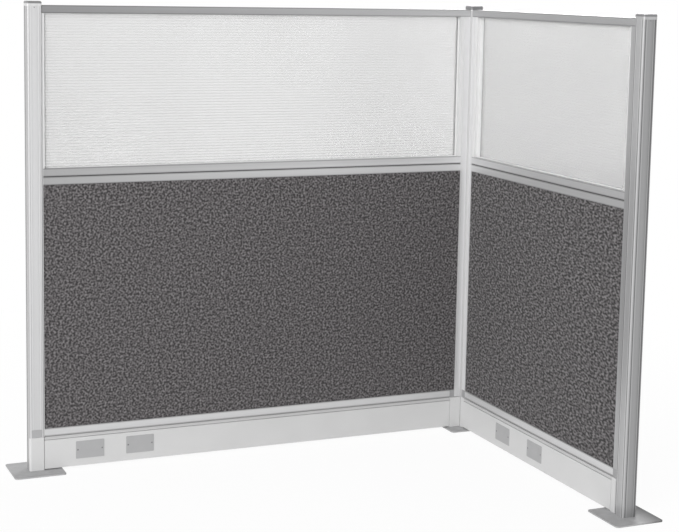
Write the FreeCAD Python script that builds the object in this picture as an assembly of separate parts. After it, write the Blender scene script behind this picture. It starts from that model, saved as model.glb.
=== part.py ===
import FreeCAD, Part
import os

# Two powered partition walls that meet at a right angle and make one corner of a cubicle.
# The origin is on the floor, on the axis of the corner post, and Z points up.
# The long wall runs along -X and the short wall along -Y, so the inside of the
# workstation is the quarter where X and Y are both negative. All lengths are millimetres.

# Overall sizes
overall_height = 1829.0
long_panel_length = 1829.0
short_panel_length = 1219.0
wall_depth = 45.0

# Posts
post_side = 57.0
post_corner_radius = 7.0
slot_opening = 25.0
slot_lip = 2.5
slot_channel_width = 33.0
slot_channel_depth = 7.5
post_bore_side = 30.0
bead_groove_place = 9.0
bead_groove_width = 1.4
bead_groove_depth = 0.8
filler_clearance = 0.3
filler_wing_thickness = 2.0
filler_wing_clearance = 1.0

# Post caps and the set screws that pin them
cap_height = 19.0
cap_overhang = 0.5
cap_chamfer = 3.0
cap_plug_depth = 30.0
cap_plug_wall = 3.0
cap_plug_clearance = 0.4
set_screw_diameter = 4.0
set_screw_drop = 4.5
set_screw_tip_gap = 0.3
set_screw_hole_clearance = 0.3

# Feet
foot_plate_side = 200.0
foot_plate_thickness = 5.0
foot_plate_corner_radius = 12.0
foot_spigot_height = 70.0
foot_spigot_clearance = 0.3
foot_bolt_diameter = 12.0
foot_bolt_head_diameter = 22.0
foot_bolt_head_height = 2.5
foot_bolt_reach = 40.0
foot_bolt_clearance = 0.4

# Heights of the wall's bands, from the floor up
cover_floor_gap = 9.0
raceway_top = 139.0
bottom_rail_height = 30.0
fabric_height = 960.0
mid_rail_height = 30.0
rail_gasket_height = 3.0
sill_height = 30.0
top_rail_height = 30.0
top_rail_drop = 15.0

# Rails and uprights of the wall frame
rail_wall = 2.5
rail_edge_radius = 3.0
rail_end_gap = 0.8
stile_width = 28.0
hidden_stile_width = 3.0
stile_wall = 2.5
stile_tongue_reach = 7.0
stile_tongue_clearance = 0.3
gasket_setback = 4.0
end_block_setback = 0.6
long_block_width = 22.0

# Windows
window_thickness = 10.0
window_bite = 8.0
flute_pitch = 11.0
window_skin = 0.8
window_rib = 0.8
glazing_clearance = 0.3
window_bead_width = 18.0
narrow_bead_width = 6.0
bead_setback = 1.5

# Acoustic panels
core_depth = 37.0
fabric_skin_thickness = 2.5
core_tongue_thickness = 12.0
core_tongue_height = 6.0
core_tongue_clearance = 0.3

# Raceway under each wall
raceway_lip_depth = 53.0
raceway_lip_height = 11.0
raceway_neck_height = 3.0
raceway_neck_depth = 36.0
divider_thickness = 3.0
divider_clearance = 0.2
stem_wall = 2.5
tray_height = 20.0
tray_thickness = 2.5
tray_depth = 38.0
ledge_drop = 18.0
ledge_thickness = 2.0
ledge_lip_inset = 4.5
ledge_lip_thickness = 2.0
ledge_lip_clearance = 0.4
cover_thickness = 1.5
cover_face_depth = 56.0
cover_top_gap = 1.6
cover_hook_reach = 9.0
cover_hook_drop = 3.0
cover_foot_return = 8.0
cover_end_gap = 1.0
end_cover_wall = 1.5
end_cover_floor_gap = 0.5

# Blank outlet plates
plate_width = 114.0
plate_height = 70.0
plate_thickness = 1.2
plate_corner_radius = 3.0
plate_middle_height = 73.0
plate_boss_margin = 4.0
plate_boss_depth = 6.0
plate_boss_wall = 1.5
plate_hole_clearance = 0.4
plate_screw_diameter = 3.5
plate_screw_inset = 4.0
long_plate_first = 182.0
long_plate_second = 386.0
short_plate_first = 378.0
short_plate_second = 637.0

# Screws that hang each raceway from the rail above it
raceway_screw_diameter = 6.0
raceway_screw_head_diameter = 11.0
raceway_screw_head_height = 3.0
raceway_screw_grip = 8.0
raceway_screw_inset = 160.0
raceway_screw_count = 4
raceway_screw_clearance = 0.3

# One overrun lets every cut pass right through its wall
overrun = 1.0

# Levels and half sizes that follow from the sizes above
half_post = post_side / 2
half_wall = wall_depth / 2
post_top = overall_height - cap_height
top_rail_top = overall_height - top_rail_drop
top_rail_bottom = top_rail_top - top_rail_height
bottom_rail_top = raceway_top + bottom_rail_height
fabric_top = bottom_rail_top + fabric_height
mid_rail_top = fabric_top + mid_rail_height
sill_bottom = mid_rail_top + rail_gasket_height
sill_top = sill_bottom + sill_height
lip_top = raceway_top - raceway_neck_height
lip_bottom = lip_top - raceway_lip_height
cover_top = lip_bottom - cover_top_gap
cover_face = cover_face_depth / 2
cover_back = cover_face - cover_thickness
ledge_lip_outside = cover_back - ledge_lip_inset / 2
hook_underside = cover_top - cover_thickness
hinge_height = hook_underside
slot_floor = half_post - slot_lip - slot_channel_depth
half_stem = divider_thickness / 2 + divider_clearance + stem_wall
divider_top = lip_bottom - raceway_screw_head_height
ledge_top = lip_bottom - ledge_drop
raceway_screw_offset = half_stem + raceway_screw_head_diameter / 2 + raceway_screw_clearance


class Wall:
    """The sizes by which the two walls differ, with distances measured along the wall."""

    def __init__(self, name, length, turn, inner_side, block_span, far_stile, far_bead,
                 far_block, plate_places):
        self.name = name
        self.length = length
        self.turn = turn
        self.inner_side = inner_side
        self.start = half_post
        self.finish = half_post + length
        self.block_span = block_span
        self.stile = {"corner": stile_width, "far": far_stile}
        self.bead = {"corner": window_bead_width, "far": far_bead}
        self.far_block = far_block
        self.plate_places = plate_places

    def along(self, end, distance):
        """A distance from the post face at one end, as a place along the wall."""
        if end == "corner":
            return self.start + distance
        return self.finish - distance


long_wall = Wall("long", long_panel_length, 180, 1,
                 block_span=(stile_width, stile_width + long_block_width),
                 far_stile=hidden_stile_width, far_bead=narrow_bead_width, far_block=False,
                 plate_places=(half_post + long_panel_length - long_plate_first,
                               half_post + long_panel_length - long_plate_second))
short_wall = Wall("short", short_panel_length, -90, -1,
                  block_span=(0, stile_width),
                  far_stile=stile_width, far_bead=narrow_bead_width, far_block=True,
                  plate_places=(half_post + short_plate_first,
                                half_post + short_plate_second))
walls = (long_wall, short_wall)
both_sides = (1, -1)
post_places = {"corner": (0, 0),
               "long_end": (-(post_side + long_panel_length), 0),
               "short_end": (0, -(post_side + short_panel_length))}
post_free_turns = {"corner": (0, 90), "long_end": (90, 180, 270), "short_end": (0, 180, 270)}
post_screw_turns = {"corner": 90, "long_end": 270, "short_end": 270}


def block(low, high):
    """A box between two opposite corners, given in any order."""
    corner = FreeCAD.Vector(*[min(a, b) for a, b in zip(low, high)])
    sides = [abs(a - b) for a, b in zip(low, high)]
    return Part.makeBox(sides[0], sides[1], sides[2], corner)


def centred(width, depth, bottom, top):
    """An upright box on the Z axis."""
    return block((-width / 2, -depth / 2, bottom), (width / 2, depth / 2, top))


def rod(radius, start, end):
    """A round bar between two points."""
    base = FreeCAD.Vector(*start)
    way = FreeCAD.Vector(*end).sub(base)
    return Part.makeCylinder(radius, way.Length, base, way)


def end_block(wall, end, near, far, low, high):
    """A box beside one post: near and far are distances from that post's face."""
    return block((wall.along(end, near), low[0], low[1]), (wall.along(end, far), high[0], high[1]))


def round_edges(shape, radius, wanted):
    """Round the edges of a shape for which the test is true."""
    return shape.makeFillet(radius, [edge for edge in shape.Edges if wanted(edge)])


def is_upright(edge):
    """True for a straight edge that runs along Z."""
    first = edge.Vertexes[0].Point
    last = edge.Vertexes[-1].Point
    return abs(first.z - last.z) > abs(first.x - last.x) + abs(first.y - last.y)


def turned(shape, degrees):
    """A copy turned about the Z axis."""
    copy = shape.copy()
    copy.rotate(FreeCAD.Vector(0, 0, 0), FreeCAD.Vector(0, 0, 1), degrees)
    return copy


def moved(shape, x, y):
    """A copy moved in plan."""
    copy = shape.copy()
    copy.translate(FreeCAD.Vector(x, y, 0))
    return copy


def set_screw_height():
    """The cap's set screw sits a little under the top of the post."""
    return post_top - set_screw_drop


def slot_cut():
    """One undercut slot, open on the +X face of a post."""
    mouth = block((half_post - slot_lip - overrun, -slot_opening / 2, 0),
                  (half_post + overrun, slot_opening / 2, overall_height))
    channel = block((slot_floor, -slot_channel_width / 2, 0),
                    (half_post - slot_lip, slot_channel_width / 2, overall_height))
    return mouth.fuse(channel)


def bead_grooves():
    """The fine lines on the +X face that set off the rounded corner beads."""
    grooves = []
    for side in both_sides:
        middle = side * (half_post - bead_groove_place)
        grooves.append(block((half_post - bead_groove_depth, middle - bead_groove_width / 2, 0),
                             (half_post + overrun, middle + bead_groove_width / 2, overall_height)))
    return grooves


def set_screw_bar(clearance, end_overrun):
    """A set screw across the +X face of a post, or with a clearance and overrun its hole."""
    tip = post_bore_side / 2 + set_screw_tip_gap - end_overrun
    head = half_post - bead_groove_depth + end_overrun
    return rod(set_screw_diameter / 2 + clearance, (tip, 0, set_screw_height()),
               (head, 0, set_screw_height()))


def set_screw_hole(name):
    """The hole for one post's set screw."""
    return turned(set_screw_bar(set_screw_hole_clearance, overrun), post_screw_turns[name])


def post(name):
    """An extruded post with a slot in each face and a square bore."""
    body = centred(post_side, post_side, foot_plate_thickness, post_top)
    body = round_edges(body, post_corner_radius, is_upright)
    cuts = [centred(post_bore_side, post_bore_side, 0, overall_height)]
    for quarter in range(4):
        degrees = quarter * 90
        cuts.append(turned(slot_cut(), degrees))
        cuts.extend(turned(groove, degrees) for groove in bead_grooves())
    cuts.append(set_screw_hole(name))
    return body.cut(Part.makeCompound(cuts))


def filler():
    """A strip that closes the unused slot in the +X face of a post."""
    half_mouth = slot_opening / 2 - filler_clearance
    half_wing = slot_channel_width / 2 - filler_wing_clearance
    wing_outside = half_post - slot_lip
    strip = block((wing_outside, -half_mouth, foot_plate_thickness),
                  (half_post - bead_groove_depth, half_mouth, post_top))
    wing = block((wing_outside - filler_wing_thickness, -half_wing, foot_plate_thickness),
                 (wing_outside, half_wing, post_top))
    return strip.fuse(wing).removeSplitter()


def cap():
    """A cap with a bevelled top and a hollow plug that slides in the post's bore."""
    side = post_side + 2 * cap_overhang
    head = centred(side, side, post_top, overall_height)
    head = round_edges(head, post_corner_radius, is_upright)
    rim = [edge for edge in head.Edges
           if all(vertex.Point.z > overall_height - cap_chamfer for vertex in edge.Vertexes)]
    head = head.makeChamfer(cap_chamfer, rim)
    plug_side = post_bore_side - 2 * cap_plug_clearance
    hollow_side = plug_side - 2 * cap_plug_wall
    plug = centred(plug_side, plug_side, post_top - cap_plug_depth, post_top)
    hollow = centred(hollow_side, hollow_side, post_top - cap_plug_depth, post_top)
    return head.fuse(plug.cut(hollow)).removeSplitter()


def foot_plate():
    """A square steel plate with a countersunk hole for its bolt."""
    plate = centred(foot_plate_side, foot_plate_side, 0, foot_plate_thickness)
    plate = round_edges(plate, foot_plate_corner_radius, is_upright)
    bolt_hole = rod(foot_bolt_diameter / 2 + foot_bolt_clearance, (0, 0, 0),
                    (0, 0, foot_plate_thickness))
    head_hole = rod(foot_bolt_head_diameter / 2 + foot_bolt_clearance, (0, 0, 0),
                    (0, 0, foot_bolt_head_height + foot_bolt_clearance))
    return plate.cut(bolt_hole.fuse(head_hole))


def foot_spigot():
    """A square steel block that fills the foot of the post's bore."""
    side = post_bore_side - 2 * foot_spigot_clearance
    top = foot_plate_thickness + foot_spigot_height
    body = centred(side, side, foot_plate_thickness, top)
    thread = rod(foot_bolt_diameter / 2, (0, 0, foot_plate_thickness),
                 (0, 0, foot_plate_thickness + foot_bolt_reach))
    return body.cut(thread)


def foot_bolt():
    """A flat-headed bolt from under the plate into the spigot."""
    head = rod(foot_bolt_head_diameter / 2, (0, 0, foot_bolt_clearance),
               (0, 0, foot_bolt_head_height + foot_bolt_clearance))
    shank = rod(foot_bolt_diameter / 2, (0, 0, foot_bolt_clearance),
                (0, 0, foot_plate_thickness + foot_bolt_reach))
    return head.fuse(shank)


def rail(wall, bottom, top, near, far, groove_width, groove_depth, groove_side):
    """A hollow rail between two distances, with a groove for what stands in or under it."""
    first = wall.along("corner", near)
    last = wall.along("far", far)
    body = block((first, -half_wall, bottom), (last, half_wall, top))
    half_groove = groove_width / 2
    cuts = []
    if groove_side == "above":
        cuts.append(block((first, -half_groove, top - groove_depth), (last, half_groove, top)))
    else:
        cuts.append(block((first, -half_groove, bottom), (last, half_groove, bottom + groove_depth)))
    for side in both_sides:
        cuts.append(block((first, side * (half_groove + rail_wall), bottom + rail_wall),
                          (last, side * (half_wall - rail_wall), top - rail_wall)))
    return body.cut(Part.makeCompound(cuts))


def round_rail_top(shape, top):
    """Round the two long outer edges at the top of the wall."""
    def outer_edge(edge):
        ends = [vertex.Point for vertex in edge.Vertexes]
        at_top = all(abs(point.z - top) < rail_edge_radius / 2 for point in ends)
        outside = all(abs(point.y) > half_wall - rail_edge_radius / 2 for point in ends)
        same_side = ends[0].y * ends[-1].y > 0
        return at_top and outside and same_side
    return round_edges(shape, rail_edge_radius, outer_edge)


def top_rail(wall):
    """The rail along the top of the wall, which holds the top of the window."""
    bar = rail(wall, top_rail_bottom, top_rail_top, rail_end_gap, rail_end_gap,
               window_thickness + 2 * glazing_clearance, window_bite + glazing_clearance, "below")
    return round_rail_top(bar, top_rail_top)


def sill(wall):
    """The upper strip of the middle rail, which holds the foot of the window."""
    return rail(wall, sill_bottom, sill_top, wall.stile["corner"], wall.stile["far"],
                window_thickness + 2 * glazing_clearance, window_bite + glazing_clearance, "above")


def mid_rail(wall):
    """The lower strip of the middle rail, which holds the top of the acoustic core."""
    return rail(wall, fabric_top, mid_rail_top, wall.stile["corner"], wall.stile["far"],
                core_tongue_thickness + 2 * core_tongue_clearance,
                core_tongue_height + core_tongue_clearance, "below")


def bottom_rail_near(wall):
    """Where the bottom rail starts beside the corner post's block."""
    return wall.block_span[1]


def bottom_rail_far(wall):
    """Where the bottom rail stops beside the far post."""
    return wall.stile["far"]


def bottom_rail(wall):
    """The rail above the raceway, which holds the foot of the acoustic core."""
    bar = rail(wall, raceway_top, bottom_rail_top, bottom_rail_near(wall), bottom_rail_far(wall),
               core_tongue_thickness + 2 * core_tongue_clearance,
               core_tongue_height + core_tongue_clearance, "above")
    holes = [raceway_screw_shank(place, raceway_screw_clearance)
             for place in raceway_screw_places(wall)]
    return bar.cut(Part.makeCompound(holes))


def rail_gasket(wall):
    """The dark strip in the shadow line between the sill and the rail under it."""
    depth = half_wall - gasket_setback
    return block((wall.along("corner", wall.stile["corner"]), -depth, mid_rail_top),
                 (wall.along("far", wall.stile["far"]), depth, sill_bottom))


def stile_bottom(wall, end):
    """A stile stands on its rail end block, or reaches down to the raceway."""
    if end == "corner" and wall.block_span[0] > 0:
        return raceway_top
    if end == "far" and not wall.far_block:
        return raceway_top
    return bottom_rail_top


def stile(wall, end):
    """An upright of the wall frame with a tongue that keys into the post's slot."""
    width = wall.stile[end]
    bottom = stile_bottom(wall, end)
    body = end_block(wall, end, 0, width, (-half_wall, bottom), (half_wall, top_rail_bottom))
    if width > window_bite:
        body = body.cut(stile_hollow(wall, end, width, bottom))
    half_tongue = slot_opening / 2 - stile_tongue_clearance
    tongue = end_block(wall, end, -stile_tongue_reach, 0, (-half_tongue, bottom),
                       (half_tongue, top_rail_bottom))
    return body.fuse(tongue).removeSplitter()


def stile_hollow(wall, end, width, bottom):
    """The cavity of a wide stile and the groove that holds the side of the window."""
    half_groove = window_thickness / 2 + glazing_clearance
    groove = end_block(wall, end, width - window_bite - glazing_clearance, width,
                       (-half_groove, sill_bottom), (half_groove, top_rail_bottom))
    cavity = end_block(wall, end, stile_wall,
                       width - window_bite - glazing_clearance - stile_wall,
                       (-(half_wall - stile_wall), bottom), (half_wall - stile_wall, top_rail_bottom))
    return groove.fuse(cavity)


def window_reach(wall, end):
    """How near the window's edge comes to the post at one end."""
    width = wall.stile[end]
    if width > window_bite:
        return width - window_bite
    return width


def window(wall):
    """The translucent twin-wall sheet, which stands in the grooves of the rails and stiles."""
    first = wall.along("corner", window_reach(wall, "corner"))
    last = wall.along("far", window_reach(wall, "far"))
    bottom = sill_top - window_bite
    top = top_rail_bottom + window_bite
    half_sheet = window_thickness / 2
    sheet = block((first, -half_sheet, bottom), (last, half_sheet, top))
    flute_count = int((top - bottom - window_rib) / flute_pitch)
    lowest_flute = (bottom + top - flute_count * flute_pitch + window_rib) / 2
    flutes = []
    for number in range(flute_count):
        low = lowest_flute + number * flute_pitch
        flutes.append(block((first, -(half_sheet - window_skin), low),
                            (last, half_sheet - window_skin, low + flute_pitch - window_rib)))
    return sheet.cut(Part.makeCompound(flutes))


def window_beads(wall):
    """The strips that hold the window's two sides, on both faces of the wall."""
    pieces = []
    for end in ("corner", "far"):
        for side in both_sides:
            pieces.append(end_block(wall, end, wall.stile[end], wall.stile[end] + wall.bead[end],
                                    (side * (window_thickness / 2), sill_top),
                                    (side * (half_wall - bead_setback), top_rail_bottom)))
    return Part.makeCompound(pieces)


def acoustic_core(wall):
    """The board between the rails, with tongues that stand in their grooves."""
    first = wall.along("corner", wall.stile["corner"])
    last = wall.along("far", wall.stile["far"])
    start = max(wall.stile["corner"], bottom_rail_near(wall))
    board = block((first, -core_depth / 2, bottom_rail_top), (last, core_depth / 2, fabric_top))
    half_tongue = core_tongue_thickness / 2
    lower = block((wall.along("corner", start), -half_tongue, bottom_rail_top - core_tongue_height),
                  (last, half_tongue, bottom_rail_top))
    upper = block((first, -half_tongue, fabric_top), (last, half_tongue, fabric_top + core_tongue_height))
    return board.fuse([lower, upper]).removeSplitter()


def fabric_skin(wall, side):
    """The cloth face of the board, with its padding."""
    return block((wall.along("corner", wall.stile["corner"]), side * (core_depth / 2),
                  bottom_rail_top),
                 (wall.along("far", wall.stile["far"]),
                  side * (core_depth / 2 + fabric_skin_thickness), fabric_top))


def rail_end_blocks():
    """The plastic blocks that join the bottom rails to the posts."""
    half_depth = half_wall - end_block_setback
    pieces = []
    for wall in walls:
        pieces.append(placed(wall, end_block(wall, "corner", wall.block_span[0], wall.block_span[1],
                                             (-half_depth, raceway_top),
                                             (half_depth, bottom_rail_top))))
        if wall.far_block:
            pieces.append(placed(wall, end_block(wall, "far", 0, wall.stile["far"],
                                                 (-half_depth, raceway_top),
                                                 (half_depth, bottom_rail_top))))
    return Part.makeCompound(pieces)


def raceway_near(wall):
    """Where the raceway's covers start beside the corner post."""
    return wall.block_span[1] + cover_end_gap


def raceway_far(wall):
    """Where the raceway's covers stop beside the far post."""
    if wall.far_block:
        return wall.stile["far"] + cover_end_gap
    return cover_end_gap


def raceway_screw_places(wall):
    """The screws stand at even steps between the covers' ends."""
    first = wall.start + raceway_near(wall) + raceway_screw_inset
    last = wall.finish - raceway_far(wall) - raceway_screw_inset
    step = (last - first) / (raceway_screw_count - 1)
    return [first + number * step for number in range(raceway_screw_count)]


def raceway_screw_shank(place, clearance):
    """A screw's shank, or with a clearance its hole."""
    return rod(raceway_screw_diameter / 2 + clearance, (place, raceway_screw_offset, lip_bottom),
               (place, raceway_screw_offset, raceway_top + raceway_screw_grip))


def raceway_bar(wall, low, high):
    """A bar as long as the raceway's covers."""
    return block((wall.along("corner", raceway_near(wall)), low[0], low[1]),
                 (wall.along("far", raceway_far(wall)), high[0], high[1]))


def raceway_hanger(wall):
    """The extrusion under the bottom rail: neck, lip, stem and the ledges for the covers."""
    half_lip = raceway_lip_depth / 2
    half_neck = raceway_neck_depth / 2
    ledge_bottom = ledge_top - ledge_thickness
    half_slot = divider_thickness / 2 + divider_clearance
    pieces = [raceway_bar(wall, (-half_lip, lip_bottom), (half_lip, lip_top)),
              raceway_bar(wall, (-half_stem, ledge_bottom), (half_stem, lip_bottom)),
              raceway_bar(wall, (-ledge_lip_outside, ledge_bottom), (ledge_lip_outside, ledge_top))]
    for side in both_sides:
        pieces.append(raceway_bar(wall, (side * (ledge_lip_outside - ledge_lip_thickness), ledge_top),
                                  (side * ledge_lip_outside, hinge_height - ledge_lip_clearance)))
    neck = raceway_bar(wall, (-half_neck, lip_top), (half_neck, raceway_top))
    cuts = [raceway_screw_shank(place, raceway_screw_clearance)
            for place in raceway_screw_places(wall)]
    cuts.append(raceway_bar(wall, (-half_slot, ledge_bottom),
                            (half_slot, divider_top + divider_clearance)))
    return neck.fuse(pieces).removeSplitter().cut(Part.makeCompound(cuts))


def raceway_divider(wall):
    """The plate that stands on the tray, in the hanger's slot, between the two cable ways."""
    half_plate = divider_thickness / 2
    return raceway_bar(wall, (-half_plate, tray_height + tray_thickness), (half_plate, divider_top))


def raceway_tray(wall):
    """The flat floor of both cable ways."""
    return raceway_bar(wall, (-tray_depth / 2, tray_height),
                       (tray_depth / 2, tray_height + tray_thickness))


def raceway_screws():
    """The screws that hang both raceways from their bottom rails."""
    pieces = []
    for wall in walls:
        for place in raceway_screw_places(wall):
            head = rod(raceway_screw_head_diameter / 2,
                       (place, raceway_screw_offset, lip_bottom - raceway_screw_head_height),
                       (place, raceway_screw_offset, lip_bottom))
            pieces.append(placed(wall, head.fuse(raceway_screw_shank(place, 0))))
    return Part.makeCompound(pieces)


def plate_boss_sides():
    """Width and height of the part of a plate that goes through the cover."""
    return plate_width - 2 * plate_boss_margin, plate_height - 2 * plate_boss_margin


def raceway_cover(wall, side):
    """A bent sheet that hooks over the ledge and hides one side of the raceway."""
    first = wall.along("corner", raceway_near(wall))
    last = wall.along("far", raceway_far(wall))
    hook_back = cover_back - cover_hook_reach
    skin = block((first, side * cover_back, cover_floor_gap), (last, side * cover_face, cover_top))
    hook = block((first, side * hook_back, hook_underside), (last, side * cover_back, cover_top))
    drop = block((first, side * hook_back, hook_underside - cover_hook_drop),
                 (last, side * (hook_back + cover_thickness), hook_underside))
    foot = block((first, side * (cover_back - cover_foot_return), cover_floor_gap),
                 (last, side * cover_back, cover_floor_gap + cover_thickness))
    body = skin.fuse([hook, drop, foot]).removeSplitter()
    boss_width, boss_height = plate_boss_sides()
    half_width = boss_width / 2 + plate_hole_clearance
    half_height = boss_height / 2 + plate_hole_clearance
    holes = []
    for place in wall.plate_places:
        holes.append(block((place - half_width, side * (cover_back - overrun),
                            plate_middle_height - half_height),
                           (place + half_width, side * (cover_face + overrun),
                            plate_middle_height + half_height)))
    return body.cut(Part.makeCompound(holes))


def blank_plate(wall, side, place):
    """A blank outlet plate with a shallow box behind it that fills the cover's cut-out."""
    outside = cover_face + plate_thickness
    half_width = plate_width / 2
    half_height = plate_height / 2
    face = block((place - half_width, side * cover_face, plate_middle_height - half_height),
                 (place + half_width, side * outside, plate_middle_height + half_height))
    face = round_edges(face, plate_corner_radius, is_across)
    boss_width, boss_height = plate_boss_sides()
    inner_width = boss_width - 2 * plate_boss_wall
    inner_height = boss_height - 2 * plate_boss_wall
    boss = plate_box(place, side, boss_width, boss_height, plate_boss_depth)
    hollow = plate_box(place, side, inner_width, inner_height, plate_boss_depth)
    body = face.fuse(boss.cut(hollow)).removeSplitter()
    holes = []
    for end in both_sides:
        middle = place + end * (boss_width / 2 - plate_screw_inset)
        holes.append(rod(plate_screw_diameter / 2,
                         (middle, side * (cover_face - overrun), plate_middle_height),
                         (middle, side * (outside + overrun), plate_middle_height)))
    return body.cut(Part.makeCompound(holes))


def plate_box(place, side, width, height, depth):
    """A box behind a plate's face, centred on the plate."""
    return block((place - width / 2, side * (cover_face - depth), plate_middle_height - height / 2),
                 (place + width / 2, side * cover_face, plate_middle_height + height / 2))


def is_across(edge):
    """True for a straight edge that runs through the thickness of a plate."""
    first = edge.Vertexes[0].Point
    last = edge.Vertexes[-1].Point
    return abs(first.y - last.y) > abs(first.x - last.x) + abs(first.z - last.z)


def raceway_end_cover(wall, end):
    """A hollow block that closes the raceway beside a post."""
    if end == "corner":
        width = wall.block_span[1]
    else:
        width = wall.stile[end]
    low = foot_plate_thickness + end_cover_floor_gap
    half_lip = raceway_lip_depth / 2
    half_cover = cover_face - cover_thickness / 2
    body = end_block(wall, end, 0, width, (-half_cover, low), (half_cover, lip_bottom))
    lip = end_block(wall, end, 0, width, (-half_lip, lip_bottom), (half_lip, lip_top))
    neck = end_block(wall, end, 0, width, (-raceway_neck_depth / 2, lip_top),
                     (raceway_neck_depth / 2, raceway_top))
    hollow = end_block(wall, end, end_cover_wall, width - end_cover_wall,
                       (-(half_cover - end_cover_wall), low),
                       (half_cover - end_cover_wall, lip_bottom - end_cover_wall))
    return body.fuse([lip, neck]).removeSplitter().cut(hollow)


def placed(wall, shape):
    """A copy of a wall's piece, turned to where the wall stands."""
    return turned(shape, wall.turn)


def save(name, shape):
    """Write one sub-part to its own file."""
    if not shape.isValid():
        raise ValueError(name + " is not a valid shape")
    shape.exportStep(os.path.join("parts", name + ".step"))
    print(name, len(shape.Solids), round(shape.Volume))


def make_posts():
    """The posts with their caps, fillers and feet."""
    fillers = []
    spigots = []
    bolts = []
    screws = []
    for name, (x, y) in post_places.items():
        save(name + "_post", moved(post(name), x, y))
        save(name + "_post_cap", moved(cap(), x, y))
        for degrees in post_free_turns[name]:
            fillers.append(moved(turned(filler(), degrees).cut(set_screw_hole(name)), x, y))
        save(name + "_foot_plate", moved(foot_plate(), x, y))
        spigots.append(moved(foot_spigot(), x, y))
        bolts.append(moved(foot_bolt(), x, y))
        screws.append(moved(turned(set_screw_bar(0, 0), post_screw_turns[name]), x, y))
    save("post_slot_fillers", Part.makeCompound(fillers))
    save("foot_spigots", Part.makeCompound(spigots))
    save("foot_bolts", Part.makeCompound(bolts))
    save("cap_set_screws", Part.makeCompound(screws))


def make_wall(wall):
    """The frame, window, board and raceway of one wall."""
    pieces = {"top_rail": top_rail(wall),
              "window": window(wall),
              "window_beads": window_beads(wall),
              "window_sill": sill(wall),
              "rail_gasket": rail_gasket(wall),
              "mid_rail": mid_rail(wall),
              "corner_stile": stile(wall, "corner"),
              "far_stile": stile(wall, "far"),
              "acoustic_core": acoustic_core(wall),
              "bottom_rail": bottom_rail(wall),
              "raceway_hanger": raceway_hanger(wall),
              "raceway_divider": raceway_divider(wall),
              "raceway_tray": raceway_tray(wall),
              "raceway_corner_end": raceway_end_cover(wall, "corner")}
    if wall.far_block:
        pieces["raceway_far_end"] = raceway_end_cover(wall, "far")
    for face, side in (("inner", wall.inner_side), ("outer", -wall.inner_side)):
        pieces[face + "_fabric"] = fabric_skin(wall, side)
        pieces[face + "_raceway_cover"] = raceway_cover(wall, side)
        for number, place in enumerate(wall.plate_places, start=1):
            pieces[face + "_blank_plate_" + str(number)] = blank_plate(wall, side, place)
    for name, shape in pieces.items():
        save(wall.name + "_" + name, placed(wall, shape))


os.makedirs("parts", exist_ok=True)
make_posts()
for each_wall in walls:
    make_wall(each_wall)
save("rail_end_blocks", rail_end_blocks())
save("raceway_screws", raceway_screws())
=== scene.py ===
import math

import bmesh
import bpy
from bpy.props import FloatProperty, FloatVectorProperty, IntProperty, PointerProperty
from mathutils import Matrix, Vector, noise


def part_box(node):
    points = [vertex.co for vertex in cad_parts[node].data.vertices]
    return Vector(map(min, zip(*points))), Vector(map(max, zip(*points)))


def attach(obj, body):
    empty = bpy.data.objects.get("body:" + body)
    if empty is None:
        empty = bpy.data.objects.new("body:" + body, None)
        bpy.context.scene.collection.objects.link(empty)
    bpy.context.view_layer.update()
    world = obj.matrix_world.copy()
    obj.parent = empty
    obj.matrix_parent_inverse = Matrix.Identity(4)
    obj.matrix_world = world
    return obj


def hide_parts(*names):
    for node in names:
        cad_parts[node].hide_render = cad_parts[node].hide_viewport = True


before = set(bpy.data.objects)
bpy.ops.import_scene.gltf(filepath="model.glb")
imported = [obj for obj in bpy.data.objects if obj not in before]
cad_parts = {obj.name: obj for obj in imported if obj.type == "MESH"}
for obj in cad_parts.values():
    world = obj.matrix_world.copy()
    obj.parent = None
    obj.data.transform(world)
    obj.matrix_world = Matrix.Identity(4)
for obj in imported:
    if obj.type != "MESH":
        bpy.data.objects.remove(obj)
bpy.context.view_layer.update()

bl_info = {
    "name": "Cubicle Corner",
    "version": (1, 0, 0),
    "blender": (4, 5, 0),
    "location": "3D View > Sidebar > Cubicle",
    "description": "Finishes, cloth, windows and fastenings of a powered cubicle corner",
    "category": "Object",
}

X, Y, Z = range(3)
UP = Vector((0.0, 0.0, 1.0))
WHITE = (1.0, 1.0, 1.0, 1.0)
FACES = {
    ("long", "inner"): Vector((0.0, -1.0, 0.0)),
    ("long", "outer"): Vector((0.0, 1.0, 0.0)),
    ("short", "inner"): Vector((-1.0, 0.0, 0.0)),
    ("short", "outer"): Vector((1.0, 0.0, 0.0)),
}
# The axis that each wall runs along, away from the corner and toward minus.
WALLS = {"long": X, "short": Y}
# Places along Y, clear of every slot strip, where the strips change from long to short wall and
# take on the short end post's painted shade.
STRIPS_CHANGE = (-0.60, -0.61)
# Section of a glazing strip: shares of its width and of its depth.
STRIP_SECTION = ((0.0, 0.0), (0.0, 1.0), (0.35, 1.0), (0.7, 0.8), (0.92, 0.4), (1.0, 0.0))
# Angles in degrees at which a rounded edge is cut into facets.
BEND_ANGLES = (22.5, 45.0, 67.5)
# Points of a fluted sheet, and of the other pieces, that lie closer than this are one point.
SHEET_WELD = 0.00005
WELD = 1e-6
# A shaded edge has its full tone over this share of its width, and fades in over the rest.
FULL_TONE = 0.6


def colour(name, description, red, green, blue):
    """A colour setting."""
    return FloatVectorProperty(
        name=name, description=description, subtype="COLOR", size=3, min=0.0, max=1.0,
        default=(red, green, blue),
    )


def grey(name, description, tone, more_blue=0.0):
    """A grey setting, which may have a trace of blue."""
    return colour(name, description, tone, tone, tone + more_blue)


def distance(name, description, metres):
    """A length setting."""
    return FloatProperty(
        name=name, description=description, default=metres, min=0.0, precision=4,
        subtype="DISTANCE", unit="LENGTH",
    )


def spot(name, description, *metres):
    """A place in the frame."""
    return FloatVectorProperty(
        name=name, description=description, subtype="XYZ", unit="LENGTH", default=metres
    )


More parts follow.
